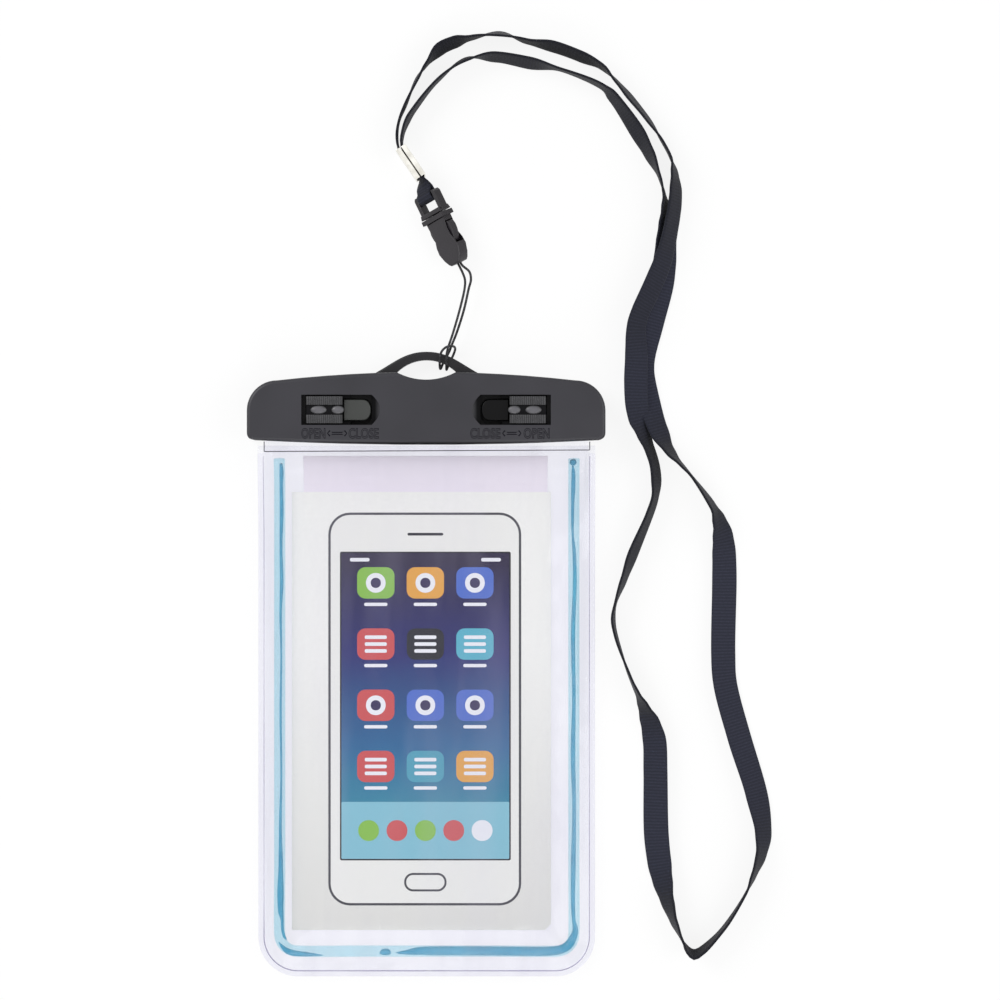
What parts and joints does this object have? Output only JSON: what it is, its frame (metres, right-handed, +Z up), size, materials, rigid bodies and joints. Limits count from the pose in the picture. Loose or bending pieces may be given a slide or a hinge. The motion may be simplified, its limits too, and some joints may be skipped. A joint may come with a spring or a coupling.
{
  "type": "waterproof phone pouch",
  "caption": "Clear waterproof phone pouch in a black slide-lock clamp, with a picture card, a luminous blue tube and a neck lanyard on a side-release buckle.",
  "frame": {"origin": "middle of the pouch's footprint, without the lanyard, on the surface it lies on", "axes": "+X right, +Y from the foot of the bag to the clamp and the hanging arch, +Z up from the surface through the front of the pouch"},
  "size_m": [0.1752, 0.3165, 0.0146],
  "materials": {
    "black_plastic": "satin",
    "gloss_black": "gloss",
    "catch_grey": "satin",
    "clear_film": "clear",
    "blue_tube": "translucent",
    "grey_card": "printed card",
    "gasket_rubber": "matte",
    "navy_ribbon": "woven",
    "bright_steel": "bright",
    "black_cord": "braided"
  },
  "bodies": {
    "pouch": {"back_shell": "black_plastic", "back_plate": "gloss_black", "left_catch": "catch_grey", "right_catch": "catch_grey", "mouth_gasket": "gasket_rubber", "back_film": "clear_film", "front_film": "clear_film", "luminous_tube": "blue_tube", "insert_card": "grey_card", "buckle_socket": "black_plastic", "buckle_plug": "black_plastic", "crimp": "bright_steel", "strap_bar_loop": "navy_ribbon", "neck_strap": "navy_ribbon", "tether_cord": "black_cord"},
    "front_clamp": {"front_shell": "black_plastic", "front_plate": "gloss_black", "front_mouth_strip": "clear_film"},
    "left_lock": {"left_slide": "gloss_black"},
    "right_lock": {"right_slide": "gloss_black"},
    "prong_right_body": {"prong_right": "black_plastic"},
    "prong_left_body": {"prong_left": "black_plastic"}
  },
  "joints": [
    {"name": "clamp_hinge", "type": "hinge", "parent": "pouch", "child": "front_clamp", "pos_m": [0, 0.07095, 0.0115], "axis": [1, 0, 0], "range_deg": [0, 75]},
    {"name": "left_lock_slide", "type": "slide", "parent": "front_clamp", "child": "left_lock", "axis": [1, 0, 0], "range_m": [0, 0.009]},
    {"name": "right_lock_slide", "type": "slide", "parent": "front_clamp", "child": "right_lock", "axis": [-1, 0, 0], "range_m": [0, 0.009]},
    {"name": "prong_right_squeeze", "type": "hinge", "parent": "pouch", "child": "prong_right_body", "pos_m": [0.00417, 0.15141, 0.00721], "axis": [0.6377, 0.3055, -0.7071], "range_deg": [0, 12], "stiffness_Nm_per_rad": 0.02},
    {"name": "prong_left_squeeze", "type": "hinge", "parent": "pouch", "child": "prong_left_body", "pos_m": [0.00162, 0.15019, 0.00439], "axis": [-0.6377, -0.3055, 0.7071], "range_deg": [0, 12], "stiffness_Nm_per_rad": 0.02}
  ]
}
